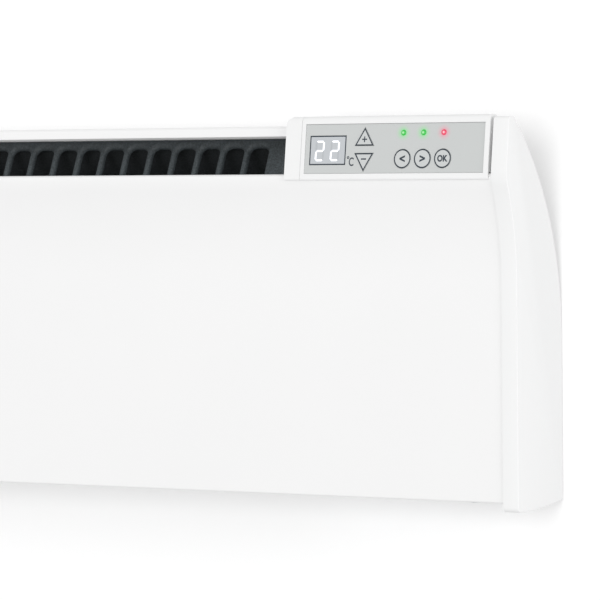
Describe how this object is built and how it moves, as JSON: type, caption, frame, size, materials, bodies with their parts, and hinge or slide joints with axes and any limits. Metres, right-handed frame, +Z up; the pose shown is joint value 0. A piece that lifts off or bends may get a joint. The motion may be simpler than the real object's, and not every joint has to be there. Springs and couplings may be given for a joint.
{
  "type": "wall panel convector heater",
  "caption": "White wall panel convector heater on its bracket, with a slotted warm-air outlet, moulded end caps and a plug-in thermostat cassette with keys and a display.",
  "frame": {"origin": "centre of the wall bracket's flat wall face, 150 mm above the lowest edge of the end caps", "axes": "+X along the heater to its thermostat end, +Y into the wall, +Z up"},
  "size_m": [0.78, 0.1012, 0.3521],
  "materials": {
    "white_steel": "satin white powder coat",
    "white_plastic": "fine satin moulding",
    "dark_steel": "coarse dark grey heat-proof coat",
    "zinc_steel": "bright zinc plate",
    "fin_aluminium": "mill finish",
    "grey_foil": "satin printed foil",
    "display_face": "translucent window",
    "black_plastic": "satin",
    "grey_plastic": "satin",
    "white_ceramic": "unglazed",
    "black_rubber": "matt",
    "circuit_board": "solder mask",
    "green_lamp": "lit green lamp",
    "red_lamp": "lit red lamp",
    "brown_wire": "insulation",
    "blue_wire": "insulation",
    "black_wire": "insulation"
  },
  "bodies": {
    "bracket": {"bracket_rail": "zinc_steel", "bracket_arm_left": "zinc_steel", "bracket_arm_right": "zinc_steel"},
    "heater": {"front_panel": "white_steel", "back_panel": "white_steel", "end_cap_right": "white_plastic", "end_cap_left": "white_plastic", "gable_right": "zinc_steel", "gable_left": "zinc_steel", "cap_screw_1": "zinc_steel", "cap_screw_2": "zinc_steel", "cap_screw_3": "zinc_steel", "cap_screw_4": "zinc_steel", "wall_buffer_left": "black_rubber", "wall_buffer_right": "black_rubber", "outlet_grille_left": "dark_steel", "outlet_grille_right": "dark_steel", "inner_deflector": "dark_steel", "intake_grille": "dark_steel", "partition": "zinc_steel", "finned_element": "fin_aluminium", "element_hanger_left": "zinc_steel", "element_hanger_right": "zinc_steel", "element_bush_left": "white_ceramic", "element_bush_right": "white_ceramic", "thermal_cutout": "black_plastic", "cutout_clip": "zinc_steel", "terminal_block": "white_ceramic", "service_cover": "zinc_steel", "cable_gland": "grey_plastic", "gland_nut": "grey_plastic", "room_sensor": "black_plastic", "cassette_bay": "black_plastic", "bay_socket": "grey_plastic", "wire_live": "brown_wire", "wire_neutral": "blue_wire", "wire_element": "black_wire"},
    "cassette": {"cassette_housing": "white_plastic", "plug_connector": "grey_plastic", "cassette_bezel": "white_plastic", "cassette_side_block": "white_plastic", "fascia": "grey_foil", "display_window": "display_face", "display_module": "black_plastic", "circuit_board": "circuit_board", "led_1": "green_lamp", "led_2": "green_lamp", "led_3": "red_lamp", "switch_1": "black_plastic", "switch_2": "black_plastic", "switch_3": "black_plastic", "switch_4": "black_plastic", "switch_5": "black_plastic", "relay": "black_plastic", "transformer": "black_plastic"},
    "plus": {"key_plus": "grey_foil"},
    "minus": {"key_minus": "grey_foil"},
    "back": {"key_back": "grey_foil"},
    "forward": {"key_forward": "grey_foil"},
    "ok": {"key_ok": "grey_foil"}
  },
  "joints": [
    {"name": "heater_lift", "type": "slide", "parent": "bracket", "child": "heater", "axis": [0, 0, 1], "range_m": [0, 0.014]},
    {"name": "cassette_slide", "type": "slide", "parent": "heater", "child": "cassette", "axis": [0, -1, 0], "range_m": [0, 0.045]},
    {"name": "plus_press", "type": "slide", "parent": "cassette", "child": "plus", "axis": [0, 0.9921, -0.1253], "range_m": [0, 0.0005], "stiffness_N_per_m": 2000, "springref_m": -0.0002},
    {"name": "minus_press", "type": "slide", "parent": "cassette", "child": "minus", "axis": [0, 0.9921, -0.1253], "range_m": [0, 0.0005], "stiffness_N_per_m": 2000, "springref_m": -0.0002},
    {"name": "back_press", "type": "slide", "parent": "cassette", "child": "back", "axis": [0, 0.9921, -0.1253], "range_m": [0, 0.0005], "stiffness_N_per_m": 2000, "springref_m": -0.0002},
    {"name": "forward_press", "type": "slide", "parent": "cassette", "child": "forward", "axis": [0, 0.9921, -0.1253], "range_m": [0, 0.0005], "stiffness_N_per_m": 2000, "springref_m": -0.0002},
    {"name": "ok_press", "type": "slide", "parent": "cassette", "child": "ok", "axis": [0, 0.9921, -0.1253], "range_m": [0, 0.0005], "stiffness_N_per_m": 2000, "springref_m": -0.0002}
  ]
}
